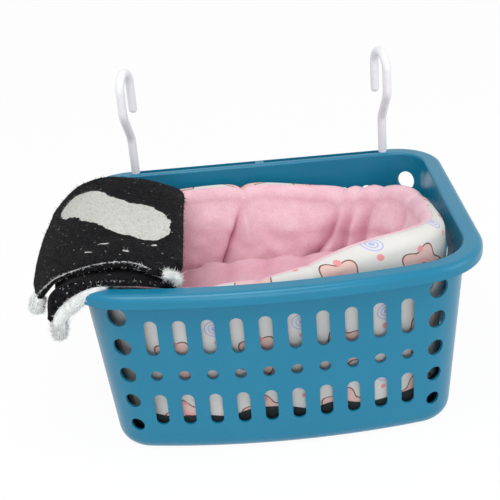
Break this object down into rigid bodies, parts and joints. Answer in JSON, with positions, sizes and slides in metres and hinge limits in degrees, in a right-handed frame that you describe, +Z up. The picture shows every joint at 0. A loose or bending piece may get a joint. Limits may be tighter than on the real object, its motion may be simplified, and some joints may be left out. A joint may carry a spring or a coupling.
{
  "type": "hanging small pet nest bed",
  "caption": "Slotted plastic basket with two sliding hooks, holding a padded plush nest with a loose cushion, and a folded plush blanket laid over one end.",
  "frame": {"origin": "middle of the basket's flat underside", "axes": "+X to the right seen from the front, -Y towards the front, +Z up; the hooks stand along the back rim at +Y"},
  "size_m": [0.3125, 0.2475, 0.2316],
  "materials": {
    "basket_plastic": "injection-moulded polypropylene, satin gloss, teal blue",
    "hook_plastic": "moulded white plastic, glossy",
    "base_cloth": "dark woven base cloth",
    "cover_cloth": "printed white cotton",
    "wadding": "white polyester wadding",
    "pink_plush": "short pale pink plush",
    "blanket_plush": "black and white knitted plush with white fleece reverse"
  },
  "bodies": {
    "basket": {"basket": "basket_plastic"},
    "left_hook": {"hook_left": "hook_plastic"},
    "right_hook": {"hook_right": "hook_plastic"},
    "nest": {"nest_base_cloth": "base_cloth", "nest_cover": "cover_cloth", "nest_wadding": "wadding", "nest_lining": "pink_plush", "nest_cushion": "pink_plush"},
    "blanket": {"blanket": "blanket_plush"}
  },
  "joints": [
    {"name": "left_hook_slide", "type": "slide", "parent": "basket", "child": "left_hook", "axis": [1, 0, 0], "range_m": [0, 0.09]},
    {"name": "right_hook_slide", "type": "slide", "parent": "basket", "child": "right_hook", "axis": [-1, 0, 0], "range_m": [0, 0.09]},
    {"name": "nest_lift", "type": "slide", "parent": "basket", "child": "nest", "axis": [0, 0, 1], "range_m": [0, 0.15]},
    {"name": "blanket_lift", "type": "slide", "parent": "nest", "child": "blanket", "axis": [0, 0, 1], "range_m": [0, 0.12]}
  ]
}
